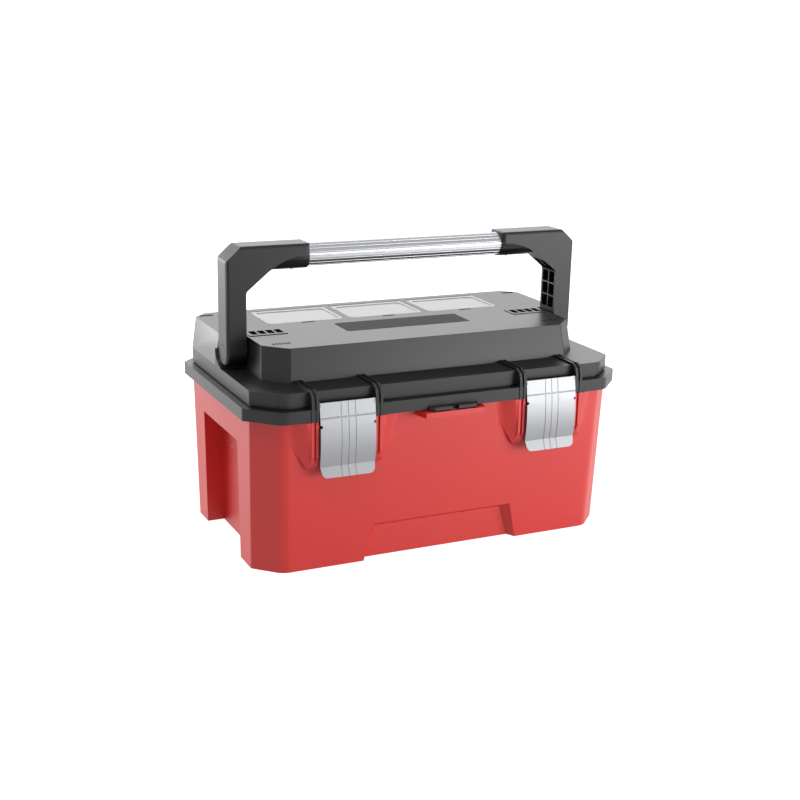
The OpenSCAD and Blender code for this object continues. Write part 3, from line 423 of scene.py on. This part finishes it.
# The world's strength on the object, and the strength of the floor's white where it is seen
WORLD_LEVEL, FLOOR_GLOW = 0.4, 0.9
FLOOR_HALF, FLOOR_DROP = 30.0, 0.4 * MM
# Name, azimuth and elevation in degrees, distance, width and height in metres, radiance
SOFTBOXES = [
    ("front_right", 38, 2, 1.8, 1.3, 0.6, 9.5),
    ("back_left", -145, 10, 2.0, 1.6, 1.0, 5.0),
    ("behind", 158, 30, 2.6, 2.6, 1.3, 2.4),
    ("overhead_left", -60, 66, 2.4, 1.4, 1.2, 2.6),
]


def softbox(name, azimuth, elevation, distance, width, height, radiance):
    """A rectangular area lamp that faces the tool box."""
    lamp = bpy.data.lights.new(name, "AREA")
    lamp.shape = "RECTANGLE"
    lamp.size, lamp.size_y = width, height
    lamp.energy = radiance * math.pi * width * height
    made = bpy.data.objects.new(name, lamp)
    a, e = math.radians(azimuth), math.radians(elevation)
    away = Vector((math.sin(a) * math.cos(e), -math.cos(a) * math.cos(e), math.sin(e)))
    made.location = LIT_POINT + away * distance
    made.rotation_mode = "QUATERNION"
    made.rotation_quaternion = (-away).to_track_quat("-Z", "Y")
    bpy.context.scene.collection.objects.link(made)
    return made


def where_seen(tree, hidden, shown):
    """A strength that is `shown` to camera, glossy and transmission rays and `hidden` to the others."""
    path = add(tree, "ShaderNodeLightPath")
    seen = add(tree, "ShaderNodeMath", [(0, path, "Is Camera Ray"), (1, path, "Is Glossy Ray")],
               operation="MAXIMUM")
    seen = add(tree, "ShaderNodeMath", [(0, seen, "Value"), (1, path, "Is Transmission Ray")],
               operation="MAXIMUM")
    return add(tree, "ShaderNodeMapRange", [("Value", seen, "Value")],
               {"To Min": hidden, "To Max": shown})


class BOX_OT_studio(bpy.types.Operator):
    """Makes the floor, the backdrop light, the lamps and the camera"""

    bl_idname = "box.studio"
    bl_label = "Studio"

    def execute(self, context):
        scene = context.scene
        scene.view_settings.view_transform = "Standard"
        world = bpy.data.worlds.new("studio")
        scene.world = world
        world.use_nodes = True
        tree = world.node_tree
        tree.nodes.clear()
        light = add(tree, "ShaderNodeBackground",
                    [("Strength", where_seen(tree, WORLD_LEVEL, 1.0), "Result")],
                    {"Color": (1.0, 1.0, 1.0, 1.0)})
        add(tree, "ShaderNodeOutputWorld", [("Surface", light, "Background")])

        mesh = bpy.data.meshes.new("floor")
        corners = ((-1, -1), (1, -1), (1, 1), (-1, 1))
        mesh.from_pydata([(x * FLOOR_HALF, y * FLOOR_HALF, -FLOOR_DROP) for x, y in corners], [],
                         [(0, 1, 2, 3)])
        floor = bpy.data.objects.new("floor", mesh)
        scene.collection.objects.link(floor)
        # Matt paper that reads as white, and still takes the object's shadow
        made, tree = new_material("matt_white_paper")
        shader = add(tree, "ShaderNodeBsdfPrincipled",
                     [("Emission Strength", where_seen(tree, 0.0, FLOOR_GLOW), "Result")],
                     {"Base Color": (0.5, 0.5, 0.5, 1.0), "Roughness": 0.9,
                      "Specular IOR Level": 0.1, "Emission Color": (1.0, 1.0, 1.0, 1.0)})
        add(tree, "ShaderNodeOutputMaterial", [("Surface", shader, "BSDF")])
        mesh.materials.append(made)

        for name, azimuth, elevation, distance, width, height, radiance in SOFTBOXES:
            softbox(name, azimuth, elevation, distance, width, height, radiance)

        lens = bpy.data.cameras.new("camera")
        lens.lens = CAMERA_LENS
        lens.sensor_width = 36.0
        lens.clip_end = 100.0
        camera = bpy.data.objects.new("camera", lens)
        scene.collection.objects.link(camera)
        camera.location = CAMERA_AT
        camera.rotation_mode = "QUATERNION"
        camera.rotation_quaternion = camera_turn().to_quaternion()
        scene.camera = camera
        return {"FINISHED"}


OPERATORS = (BOX_OT_tub, BOX_OT_lid, BOX_OT_plate, BOX_OT_covers, BOX_OT_arms, BOX_OT_grip,
             BOX_OT_latches, BOX_OT_tray, BOX_OT_links, BOX_OT_pins, BOX_OT_studio)


class BOX_PT_panel(bpy.types.Panel):
    """Lists the steps that dress the tool box"""

    bl_idname = "BOX_PT_panel"
    bl_label = "Tool box"
    bl_space_type = "VIEW_3D"
    bl_region_type = "UI"
    bl_category = "Tool box"

    def draw(self, context):
        for step in OPERATORS:
            self.layout.operator(step.bl_idname)
        for name in BoxSizes.__annotations__:
            self.layout.prop(context.scene.box_sizes, name)
        for name in BoxColours.__annotations__:
            self.layout.prop(context.scene.box_colours, name)


def register():
    for made in (BoxColours, BoxSizes, *OPERATORS, BOX_PT_panel):
        bpy.utils.register_class(made)
    bpy.types.Scene.box_colours = bpy.props.PointerProperty(type=BoxColours)
    bpy.types.Scene.box_sizes = bpy.props.PointerProperty(type=BoxSizes)


def unregister():
    del bpy.types.Scene.box_colours
    del bpy.types.Scene.box_sizes
    for made in reversed((BoxColours, BoxSizes, *OPERATORS, BOX_PT_panel)):
        bpy.utils.unregister_class(made)


def main():
    """Dresses the box step by step."""
    register()
    for step in OPERATORS:
        group, name = step.bl_idname.split(".")
        getattr(getattr(bpy.ops, group), name)()


if __name__ == "__main__":
    main()
